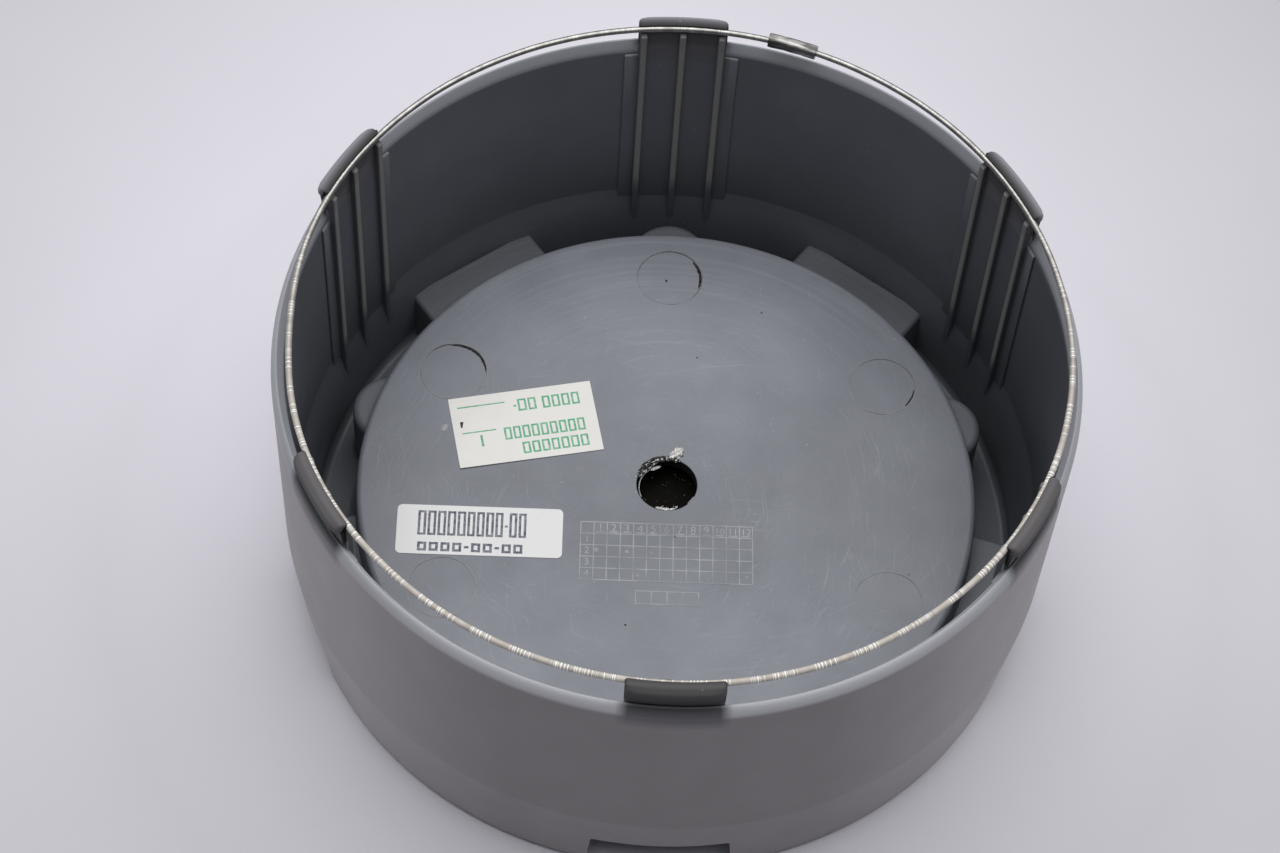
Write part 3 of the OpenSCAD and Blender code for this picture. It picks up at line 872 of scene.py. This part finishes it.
# %% Helper for finishes
class Finish:
    """A material that is built node by node. Inputs are values, or outputs of earlier nodes."""

    def __init__(self, name):
        self.material = bpy.data.materials.new(name)
        self.material.use_nodes = True
        self.tree = self.material.node_tree
        self.shader = self.tree.nodes["Principled BSDF"]

    def node(self, kind, inputs=None, out=0, **settings):
        made = self.tree.nodes.new(kind)
        for key, value in settings.items():
            setattr(made, key, value)
        self.feed(made, inputs or {})
        return made.outputs[out]

    def feed(self, made, inputs):
        for key, value in inputs.items():
            if isinstance(value, bpy.types.NodeSocket):
                self.tree.links.new(value, made.inputs[key])
            else:
                made.inputs[key].default_value = value

    def coords(self, which="Object"):
        return self.node("ShaderNodeTexCoord", out=which)

    def axis(self, vector, name):
        """One number of a vector: X, Y or Z."""
        return self.node("ShaderNodeSeparateXYZ", {"Vector": vector}, out=name)

    def vector(self, operation, a, b=None, out=0):
        inputs = {0: a} if b is None else {0: a, 1: b}
        return self.node("ShaderNodeVectorMath", inputs, out, operation=operation)

    def scaled(self, vector, by):
        return self.node("ShaderNodeVectorMath", {0: vector, 3: by}, operation="SCALE")

    def noise(self, vector, scale, detail=2.0, rough=0.5):
        return self.node("ShaderNodeTexNoise", {"Vector": vector, "Scale": scale, "Detail": detail,
                                                "Roughness": rough, "Distortion": 0.0})

    def cells(self, vector, scale):
        """Distance to the nearest of many scattered points."""
        return self.node("ShaderNodeTexVoronoi", {"Vector": vector, "Scale": scale})

    def math(self, operation, a, b=0.0, clamp=False):
        return self.node("ShaderNodeMath", {0: a, 1: b}, operation=operation, use_clamp=clamp)

    def ramp(self, value, low, high, to_low=0.0, to_high=1.0):
        return self.node("ShaderNodeMapRange", {"Value": value, "From Min": low, "From Max": high,
                                                "To Min": to_low, "To Max": to_high})

    def product(self, *factors, clamp=False):
        """Product of the factors. A factor given as (value, low, high, ...) is a ramp."""
        factors = [self.ramp(*factor) if isinstance(factor, tuple) else factor for factor in factors]
        result = factors[0]
        for factor in factors[1:]:
            result = self.math("MULTIPLY", result, factor, clamp)
        return result

    def mix(self, share, a, b):
        made = self.tree.nodes.new("ShaderNodeMix")
        made.data_type = "RGBA"  # inputs 6 and 7 and output 2 are the colours
        self.feed(made, {0: share, 6: a, 7: b})
        return made.outputs[2]

    def layered(self, colour, *layers):
        """The colour with each layer of (mask, colour) laid over it in turn."""
        for mask, tint in layers:
            colour = self.mix(mask, colour, tint)
        return colour

    def stretched(self, vector, turn, scale):
        """Coordinates turned about Z by turn degrees, then scaled by three numbers."""
        inputs = {"Vector": vector, "Rotation": (0, 0, math.radians(turn))}
        return self.vector("MULTIPLY", self.node("ShaderNodeMapping", inputs), scale)

    def bump(self, height, depth_mm, strength=1.0, under=None):
        inputs = {"Height": height, "Distance": depth_mm * MM, "Strength": strength}
        if under is not None:
            inputs["Normal"] = under
        return self.node("ShaderNodeBump", inputs)

    def skin(self, colour, roughness, more=None):
        """What the shader gets. More holds inputs by their own names."""
        self.feed(self.shader, {"Base Color": colour, "Roughness": roughness, **(more or {})})

    def apply(self, finish):
        for piece in finishes.get(finish, []):
            piece.data.materials.clear()
            piece.data.materials.append(self.material)


# %% [markdown]
# The cap is moulded in grey plastic with a satin skin. Up close its colour drifts a little, a fine
# grain breaks the light, and handling has left hairline scratches in all directions on the disc,
# with arcs where something was turned on it. A scratch is noise stretched a hundred times in one
# direction, of which only the peaks are kept. An arc is the same noise laid on the distance and
# the angle from a centre. Outside, the wall is painted in a warmer grey. Masks from the place and
# the normal lay that paint over the grey, and they also paint light and shade into the colour:
# painted shade in the cup and on and under the clips' heads, painted light on the disc, and
# painted highlights on the rim and the ribs.

# %% Grey plastic
GREY = (0.156, 0.165, 0.190, 1)
GREY_DARK = (0.129, 0.137, 0.158, 1)
GREY_LIGHT = (0.40, 0.41, 0.43, 1)
# Painted highlight on the rim's crest, bluer away from the front as a painted reflection.
RIM_HIGHLIGHT = (0.56, 0.565, 0.60, 1)
RIM_BLUE_REFLECTION = (0.375, 0.387, 0.42, 1)
PAINT = (0.258, 0.245, 0.250, 1)
# The paint made paler low down, as painted light thrown up from the table.
PAINT_LIT_LOW = (0.285, 0.270, 0.276, 1)
# Heads: the grey darkened as painted shade, a painted reflection on the far heads' outer edge, painted shade
# under the lip.
HEAD_SHADE = (0.066, 0.063, 0.065, 1)
FAR_HEAD_SHADE, FAR_HEAD_REFLECTION = (0.036, 0.033, 0.034, 1), (0.255, 0.255, 0.285, 1)
LIP_SHADE = (0.02, 0.02, 0.021, 1)
# Painted shadow under the heads, painted shade between the ribs below them, painted highlights on the ribs'
# fronts.
HEAD_SHADOW = (0.035, 0.037, 0.042, 1)
CLIP_INNER_SHADE = (0.088, 0.076, 0.077, 1)
RIB_HIGHLIGHT = (0.36, 0.34, 0.31, 1)
WALL_SHADE = (0.06, 0.065, 0.075, 1)
# Painted highlights on the strips beside the clips and on the near rim slope.
STRIP_HIGHLIGHT = (0.36, 0.36, 0.37, 1)
SLOPE_HIGHLIGHT = (0.34, 0.35, 0.38, 1)
BORE_DARK = (0.02, 0.02, 0.022, 1)
FLECK_LIGHT, FLECK_DARK = (0.5, 0.5, 0.51, 1), (0.04, 0.04, 0.045, 1)
RAISED_DARK, RAISED_LIGHT = (0.205, 0.213, 0.232, 1), (0.31, 0.32, 0.335, 1)
DISC_GAIN = 1.02
ABOVE_RIM = (0.0592, 0.0602)


def scratches(finish, vector, turns, low, high, long_scale, fine_scale):
    """Peaks of noise stretched along each of the given directions, added up."""
    bend = finish.node("ShaderNodeTexNoise", {"Vector": vector, "Scale": 28.0, "Detail": 1.0}, out="Color")
    bent = finish.vector("ADD", vector, finish.scaled(bend, 0.004))
    total = None
    for turn in turns:
        lines = finish.noise(finish.stretched(bent, turn, (long_scale, fine_scale, 0)), 1.0)
        peaks = finish.ramp(lines, low, high)
        total = peaks if total is None else finish.math("ADD", total, peaks, clamp=True)
    return total


def swirls(finish, vector, centres, low, high, round_scale, fine_scale):
    """Peaks of noise on (angle, distance) about each centre, which are arcs round it."""
    total = None
    for x, y in centres:
        flat = finish.vector("MULTIPLY", finish.vector("ADD", vector, (-x * MM, -y * MM, 0)), (1, 1, 0))
        distance = finish.vector("LENGTH", flat, out="Value")
        wide = finish.scaled(finish.vector("NORMALIZE", flat), round_scale)
        upright = finish.node("ShaderNodeCombineXYZ", {"Z": finish.product(distance, fine_scale)})
        peaks = finish.ramp(finish.noise(finish.vector("ADD", wide, upright), 1.0), low, high)
        total = peaks if total is None else finish.math("ADD", total, peaks, clamp=True)
    return total


def grey_finish(name, base_of, level):
    """The grey plastic; base_of turns the drifting grey into the piece's colour, and level says how
    much wear is laid over it."""
    grey = Finish(name)
    where = grey.coords()
    normal = grey.coords("Normal")
    height = grey.axis(where, "Z")
    upward = grey.ramp(grey.axis(normal, "Z"), 0.85, 0.98)
    on_disc = grey.product(upward, (height, 0.059, 0.058), (height, 0.0172, 0.0178, 0.4, 1.0))
    hairlines = scratches(grey, where, (14, 52, 88, 121, 163), 0.67, 0.80, 110, 3600)
    arcs = swirls(grey, where, ((0, 0), (6, 18), (-20, -8), (14, -20)), 0.63, 0.76, 3.5, 2800)
    patches = grey.ramp(grey.noise(where, 55, 3), 0.40, 0.62)
    marks_of_use = grey.math("ADD", hairlines, grey.product(arcs, patches))
    worn = grey.product(marks_of_use, on_disc, clamp=True)
    drift = grey.mix(grey.ramp(grey.noise(where, 45, 5, 0.6), 0.35, 0.65), GREY_DARK, GREY)
    base = base_of(grey, where, normal, drift)
    far_side = grey.ramp(grey.axis(where, "Y"), 0.018, 0.046)
    rubbed = grey.product(swirls(grey, where, ((0, 0),), 0.45, 0.75, 1.6, 1500), far_side)
    worn_all = grey.math("ADD", worn, grey.product(rubbed, on_disc), clamp=True)
    colour = grey.mix(grey.product(worn_all, 0.19 * level), base, GREY_LIGHT)
    light_dots = grey.product((grey.cells(where, 420), 0.06, 0.03), (grey.noise(where, 230), 0.50, 0.58))
    colour = grey.mix(grey.product(light_dots, 0.55 * level), colour, FLECK_LIGHT)
    dark_dots = grey.product((grey.cells(where, 130), 0.035, 0.02), (grey.noise(where, 90), 0.55, 0.6))
    colour = grey.mix(grey.product(dark_dots, 0.8), colour, FLECK_DARK)
    grain = grey.bump(grey.noise(where, 4200), 0.012, 0.35)
    above_rim = grey.ramp(height, *ABOVE_RIM)
    gloss = grey.product((height, 0.0566, 0.0575), (above_rim, 0, 1, 0.12, -0.14))
    satin = grey.math("SUBTRACT", grey.ramp(grey.noise(where, 120, 3), 0.3, 0.7, 0.42, 0.52), gloss)
    grey.skin(colour, satin, {"Normal": grey.bump(worn, 0.01, 0.4, grain),
                              "Specular IOR Level": grey.ramp(above_rim, 0, 1, 0.5, 0.3)})
    return grey


def shell_colours(finish, where, normal, drift):
    """Paint outside and grey inside, with light and shade painted into both: painted shade on the heads
    above the rim, under them and low in the cup, and painted highlights on the rim, the ribs' fronts
    and the disc. Each mask is a product of ramps over the radius, the height or the side, in metres."""
    product, ramp = finish.product, finish.ramp
    height, east, north = [finish.axis(where, name) for name in "ZXY"]
    flat = finish.vector("MULTIPLY", where, (1, 1, 0))
    radius = finish.vector("LENGTH", flat, out="Value")
    heading = finish.vector("NORMALIZE", flat)
    outward = finish.vector("DOT_PRODUCT", heading, normal, "Value")
    sideways = finish.axis(heading, "X")
    squared = product(sideways, sideways)
    by_clip = ramp(finish.math("COSINE", product(finish.math("ARCTAN2", north, east), 6.0)), -0.68, -0.80)

    # Inside: painted light makes the disc paler towards its far and near edges and darker on the right.
    # Painted shade darkens the wall low down, at the sides and on the strips behind the clips, painted
    # highlights lighten the strips beside the clips and the near rim slope, and the bore is darker.
    disc_zone = product((radius, 0.0544, 0.0532), (height, 0.0150, 0.0176))
    # Painted light: the disc is scaled paler towards its far and near edges and darker on the right.
    disc_painted_light = product((north, 0.0, 0.042, 1.0, 1.36), (east, 0.0, 0.05, 1.0, 0.93),
                    (north, -0.012, -0.04, 1.0, 1.2), DISC_GAIN)
    cup = finish.scaled(drift, ramp(disc_zone, 0, 1, 1.0, disc_painted_light))
    deep = product((height, 0.016, 0.006), 0.45)
    low_wall = product((height, 0.046, 0.020), 0.30)
    on_side = ramp(squared, 0.45, 0.95, 0.0, ramp(sideways, -0.3, 0.3, 0.42, 0.66))
    side_wall = product(on_side, (radius, 0.060, 0.0605), (height, 0.0569, 0.0560))
    strip = product((radius, 0.0628, 0.0627), (radius, 0.0612, 0.0618))
    shade = finish.math("ADD", finish.math("ADD", deep, low_wall),
                        finish.math("ADD", side_wall, product(strip, by_clip, 0.16)))
    dim = product(shade, (radius, 0.0532, 0.0536))
    # Painted highlights on the strips beside the clips and on the slope inside the near rim.
    highlight_beside_clip = product(strip, (by_clip, 0.5, 0.0), (height, 0.044, 0.0565, 0.0, 0.42))
    highlight_near_slope = product((height, 0.0535, 0.0560), (north, -0.01, -0.04, 0.0, 0.5), (radius, 0.0600, 0.0605))
    bore = product((radius, 0.0053, 0.00525), (height, 0.01795, 0.0178))
    cup = finish.layered(cup, (dim, WALL_SHADE), (highlight_beside_clip, STRIP_HIGHLIGHT), (highlight_near_slope, SLOPE_HIGHLIGHT),
                         (bore, BORE_DARK))

    # Outside: warmer paint, made paler low down and towards the sides as painted light and reflection from
    # the table. A painted highlight lies on the rim's crest, bluer away from the front as a painted
    # reflection. Painted shadow falls under the heads, painted shade between the ribs below them, and
    # painted highlights lie on the ribs' fronts.
    outside = product((outward, 0.35, 0.75), (radius, 0.0624, 0.0628))
    paint = finish.mix(ramp(height, 0.0197, 0.0187), PAINT, PAINT_LIT_LOW)
    # The paint is scaled paler towards the sides, a painted reflection of the table.
    painted = finish.mix(outside, cup, finish.scaled(paint, ramp(squared, 0.15, 0.6, 1.0, 1.6)))
    above_slope = finish.math("SUBTRACT", height, ramp(north, -0.03, 0.02, 0.0566, 0.0570))
    # Painted highlight on the rim's crest.
    crest_highlight = product((above_slope, 0, 0.0011), (radius, 0.0629, 0.0631))
    rim_highlight_tone = finish.mix(ramp(north, -0.056, -0.030), RIM_HIGHLIGHT, RIM_BLUE_REFLECTION)
    # Painted shadow under the heads, painted highlight on the ribs' fronts, painted shade between the ribs
    # under the heads.
    shadow_under_head = product(by_clip, (radius, 0.0630, 0.0636), (height, 0.0535, 0.0575, 0.0, 0.93))
    rib_front_highlight = product((radius, 0.0619, 0.0617), (height, 0.020, 0.024), 0.55)
    inner_clip_shade = product((radius, 0.0631, 0.0628), (height, 0.0545, 0.0575),
                         (radius, 0.0617, 0.0619, 0.0, 0.55), by_clip)
    painted = finish.layered(painted, (crest_highlight, rim_highlight_tone), (shadow_under_head, HEAD_SHADOW), (rib_front_highlight, RIB_HIGHLIGHT),
                             (inner_clip_shade, CLIP_INNER_SHADE))

    # Heads: the grey darkened as painted shade, less so towards the sides, with a painted reflection on the
    # outer edge at the far side and painted shade under the lip.
    shade_under_lip = product((height, 0.0641, 0.0632), (radius, 0.0644, 0.0650), 0.55)
    outer_edge = finish.math("POWER", ramp(radius, 0.0627, 0.0643), 1.8)
    near_head = finish.scaled(HEAD_SHADE[:3], ramp(squared, 0.3, 0.7, 1.0, 1.65))
    far_head = finish.mix(outer_edge, FAR_HEAD_SHADE, FAR_HEAD_REFLECTION)
    head = finish.mix(ramp(north, -0.015, 0.015), near_head, far_head)
    head = finish.mix(shade_under_lip, head, LIP_SHADE)
    above = product((height, *ABOVE_RIM), (radius, 0.0628, 0.0630))
    return finish.mix(finish.math("MAXIMUM", above, ramp(height, 0.0637, 0.0640)), painted, head)


def raised_colour(finish, where, _normal, _drift):
    """Raised lines catch the light, so they are paler than the disc."""
    return finish.mix(finish.ramp(finish.noise(where, 300, 3), 0.35, 0.65), RAISED_DARK, RAISED_LIGHT)


grey_finish("grey_moulding", shell_colours, 1.0).apply("grey")
grey_finish("raised_grey", raised_colour, 0.6).apply("raised")


def two_tones(name, pieces_of, scale, detail, low, high, dark, light, roughness):
    """A finish whose colour goes from dark to light with one noise. Returns it and its share."""
    finish = Finish(name)
    share = finish.ramp(finish.noise(finish.coords(), scale, detail), low, high)
    finish.skin(finish.mix(share, dark, light), roughness)
    finish.apply(pieces_of)
    return finish, share


two_tones("mark_outline", "outline", 260, 3, 0.38, 0.60,
          (0.13, 0.13, 0.135, 1), (0.215, 0.225, 0.245, 1), 0.5)
two_tones("torn_grey", "torn", 2600, 3, 0.35, 0.65,
          (0.12, 0.125, 0.13, 1), (0.42, 0.43, 0.44, 1), 0.45)
white, fibre = two_tones("torn_white", "torn_white", 1900, 4, 0.38, 0.62,
                         (0.40, 0.40, 0.40, 1), (0.86, 0.85, 0.82, 1), 0.55)
white.feed(white.shader, {"Normal": white.bump(fibre, 0.12, 0.8)})
soil, _ = two_tones("dark_dirt", "dirt", 1500, 3, 0.4, 0.65,
                    (0.010, 0.009, 0.008, 1), (0.042, 0.038, 0.033, 1), 0.8)
soil.feed(soil.shader, {"Specular IOR Level": 0.2})

# %% [markdown]
# The insert behind the hole is plain black plastic. Only a coin-sized part of its back can be
# seen, dusty and flecked, so its finish has a brownish dust in soft patches and fine bright flecks.

# %% Black insert
black = Finish("black_insert")
where = black.coords()
dust = black.ramp(black.noise(where, 700, 4, 0.7), 0.45, 0.75)
flecks = black.product((black.cells(where, 2600), 0.22, 0.1), (black.noise(where, 900), 0.58, 0.66))
dusty = black.mix(dust, (0.0016, 0.0015, 0.0011, 1), (0.0058, 0.0052, 0.0036, 1))
black.skin(black.mix(flecks, dusty, (0.35, 0.31, 0.23, 1)), black.ramp(dust, 0, 1, 0.6, 0.8),
           {"Specular IOR Level": 0.05, "Normal": black.bump(black.noise(where, 2500), 0.02, 0.4)})
nodes["front_insert"].data.materials.clear()
nodes["front_insert"].data.materials.append(black.material)

# %% [markdown]
# The wire is bright drawn steel. Drawing and bending leave short crosswise bands, in groups with
# duller stretches between, and their flashes are painted near white into the colour as painted
# glints, strongest towards the front. The front stretch is painted paler and much less metallic
# than the far stretch, a painted highlight. The bands run on the wire's own length, in
# millimetres, so they stay square to it all the way round.

# %% Wire and sleeve
def length_noise(finish, scale, detail=2.0):
    """Noise that changes only along the piece's own length."""
    along = finish.axis(finish.node("ShaderNodeUVMap", uv_map="length"), "X")
    return finish.noise(finish.node("ShaderNodeCombineXYZ", {"X": along}), scale, detail)


wire = Finish("drawn_wire")
near = wire.ramp(wire.axis(wire.coords(), "Y"), 0.030, -0.020)
lines, groups = length_noise(wire, 3.8, 0.0), length_noise(wire, 0.30, 0.0)
# Painted glints on the bands, stronger towards the front.
painted_glints = wire.product((lines, 0.50, 0.62), (groups, 0.44, 0.52), (near, 0, 1, 0.18, 1.0))
dull = wire.ramp(length_noise(wire, 0.5, 1.0), 0.35, 0.65)
# Lit and shaded copies of the steel: the front is painted paler and less metallic, a painted highlight.
far_steel_shaded = wire.mix(dull, (0.31, 0.302, 0.288, 1), (0.46, 0.45, 0.434, 1))
near_steel_lit = wire.mix(dull, (0.43, 0.395, 0.355, 1), (0.54, 0.505, 0.46, 1))
steel = wire.mix(painted_glints, wire.mix(near, far_steel_shaded, near_steel_lit), (1.0, 0.99, 0.96, 1))
wire.skin(steel, wire.ramp(near, 0, 1, 0.45, 0.65), {"Metallic": wire.ramp(near, 0, 1, 1.0, 0.1)})
wire.apply("wire")

sleeve = Finish("crimped_sheet")
uv = sleeve.node("ShaderNodeUVMap", uv_map="length")
folds = sleeve.noise(sleeve.stretched(uv, 0, (0.18, 20, 1)), 1.0, 3)
tint = sleeve.mix(sleeve.ramp(folds, 0.40, 0.64), (0.075, 0.072, 0.07, 1), (0.36, 0.35, 0.34, 1))
sleeve.skin(tint, sleeve.ramp(folds, 0.3, 0.7, 0.45, 0.3),
            {"Metallic": 0.9, "Normal": sleeve.bump(folds, 0.05, 0.5)})
sleeve.apply("sleeve")

# %% [markdown]
# The part label is coated paper with dark navy print, and the inspection label plain paper with
# green print. Paper is never quite one white: fibres and faint dirt drift through it.

# %% Labels and inks
def paper_finish(name, white, shade, roughness, pieces_of):
    """Paper with faint stains and a fibrous skin."""
    finish = Finish(name)
    where = finish.coords()
    stains = finish.ramp(finish.noise(where, 160, 4, 0.6), 0.45, 0.75, 0.0, 0.5)
    relief = finish.bump(finish.noise(where, 2600, 3), 0.01, 0.3)
    finish.skin(finish.mix(stains, white, shade), roughness, {"Normal": relief})
    finish.apply(pieces_of)


def ink_finish(name, ink, pieces_of):
    """Print that lets a little of the paper through in patches."""
    finish = Finish(name)
    patchy = finish.ramp(finish.noise(finish.coords(), 1800, 3), 0.3, 0.75, 0.0, 0.35)
    finish.skin(finish.mix(patchy, ink, (0.7, 0.7, 0.7, 1)), 0.5)
    finish.apply(pieces_of)


paper_finish("coated_label", (0.66, 0.66, 0.66, 1), (0.61, 0.61, 0.61, 1), 0.5, "vinyl")
paper_finish("plain_label", (0.70, 0.69, 0.66, 1), (0.65, 0.635, 0.61, 1), 0.65, "paper")
ink_finish("navy_print", (0.012, 0.014, 0.05, 1), "vinyl_ink")
ink_finish("green_print", (0.01, 0.30, 0.12, 1), "paper_ink")

# %% [markdown]
# The cap lies on a pale table under one wide soft light straight above, with a faint even
# glow from all round. Light that comes down steeply leaves the inside of the wall dark, as a deep
# cup is, while the table throws it back up on the outside. The table's colour is painted darker
# away from a spot near the cap, a painted fall-off of the light, and paler right round the cap,
# painted light that takes back part of its shadow. What the camera sees past the table
# has the table's own colour.

# %% Floor and light
FLOOR = (0.66, 0.645, 0.70, 1)
GLOW, GLOW_STRENGTH = (0.93, 0.95, 1.0, 1), 0.11

floor_mesh = bpy.data.meshes.new("table")
floor_mesh.from_pydata([(-3, -3, 0), (3, -3, 0), (3, 3, 0), (-3, 3, 0)], [], [(0, 1, 2, 3)])
table = new_object("table", floor_mesh)
table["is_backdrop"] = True
pale = Finish("pale_table")
spot = pale.coords()
away = pale.vector("LENGTH", pale.vector("ADD", spot, (0.015, -0.045, 0)), out="Value")
beside = pale.vector("LENGTH", spot, out="Value")
# Painted light on the table: darker away from the spot, paler close round the cap.
level = pale.product((away, 0.07, 0.165, 1.0, 0.76), (beside, 0.066, 0.098, 1.20, 1.0),
                     (pale.noise(spot, 16, 4), 0.3, 0.7, 0.98, 1.015))
pale.skin(pale.scaled(FLOOR[:3], level), 0.8)
table.data.materials.append(pale.material)


def soft_light(name, at, aim, size, watts):
    """Round soft light at one point, turned towards another."""
    light = bpy.data.lights.new(name, "AREA")
    light.shape = "DISK"
    light.size = size
    light.energy = watts
    lamp = new_object(name, light)
    lamp.location = at
    x, y, z = np.array(aim) - np.array(at)
    lamp.rotation_euler = (math.atan2(math.hypot(x, y), -z), 0, math.atan2(-x, y))


soft_light("overhead", (0.03, 0.18, 1.0), (0, 0.05, 0.03), 1.5, 15.5)

world = bpy.data.worlds.new("studio")
world.use_nodes = True
bpy.context.scene.world = world
tree = world.node_tree
glow = tree.nodes["Background"]
glow.inputs["Color"].default_value = GLOW
glow.inputs["Strength"].default_value = GLOW_STRENGTH
seen = tree.nodes.new("ShaderNodeBackground")
seen.inputs["Color"].default_value = FLOOR
ray = tree.nodes.new("ShaderNodeLightPath")
choose = tree.nodes.new("ShaderNodeMixShader")
tree.links.new(ray.outputs["Is Camera Ray"], choose.inputs[0])
tree.links.new(glow.outputs[0], choose.inputs[1])
tree.links.new(seen.outputs[0], choose.inputs[2])
tree.links.new(choose.outputs[0], tree.nodes["World Output"].inputs[0])

# %% [markdown]
# Last, the box of the dressed object is measured. The looks are meant not to change the size.

# %% Measure the box
low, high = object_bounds()
